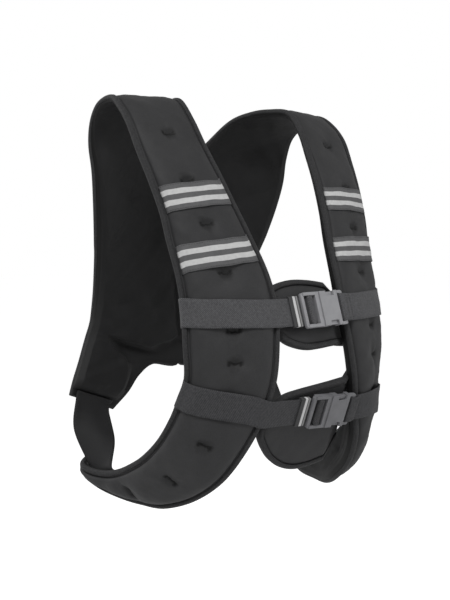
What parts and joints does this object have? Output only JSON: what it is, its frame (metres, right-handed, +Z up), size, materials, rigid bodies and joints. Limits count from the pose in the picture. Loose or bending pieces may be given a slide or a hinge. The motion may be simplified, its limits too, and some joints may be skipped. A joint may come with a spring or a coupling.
{
  "type": "weighted vest",
  "caption": "Weighted fitness vest in its worn shape: padded dark neoprene harness with bound edges, a closed back, chest straps with side-release buckles, and padded buckle flaps.",
  "frame": {"origin": "midway between the two shoulder arches, at the height of their undersides, where the shoulders carry the vest", "axes": "+Z up, the chest faces -Y, the wearer's left is +X"},
  "size_m": [0.3304, 0.291, 0.4628],
  "materials": {
    "padded_neoprene": "matte, finely knitted face over foam and sand filling",
    "flat_neoprene": "matte, single thin layer",
    "edge_tape": "matte woven binding tape",
    "webbing": "matte twill webbing",
    "reflective_band": "grey tape with two light reflective stripes",
    "buckle_plastic": "satin moulded grey plastic"
  },
  "bodies": {
    "root": {"padded_body": "padded_neoprene", "edge_binding": "edge_tape", "upper_flap": "padded_neoprene", "lower_flap": "padded_neoprene", "upper_flap_binding": "edge_tape", "lower_flap_binding": "edge_tape", "left_side_strap": "flat_neoprene", "right_side_strap": "flat_neoprene", "upper_left_band": "reflective_band", "upper_left_webbing": "webbing", "upper_right_band": "reflective_band", "upper_right_webbing": "webbing", "upper_buckle_plug": "buckle_plastic", "upper_buckle_socket": "buckle_plastic", "upper_keeper": "webbing", "lower_left_band": "reflective_band", "lower_left_webbing": "webbing", "lower_right_band": "reflective_band", "lower_right_webbing": "webbing", "lower_buckle_plug": "buckle_plastic", "lower_buckle_socket": "buckle_plastic", "lower_keeper": "webbing"}
  },
  "joints": []
}
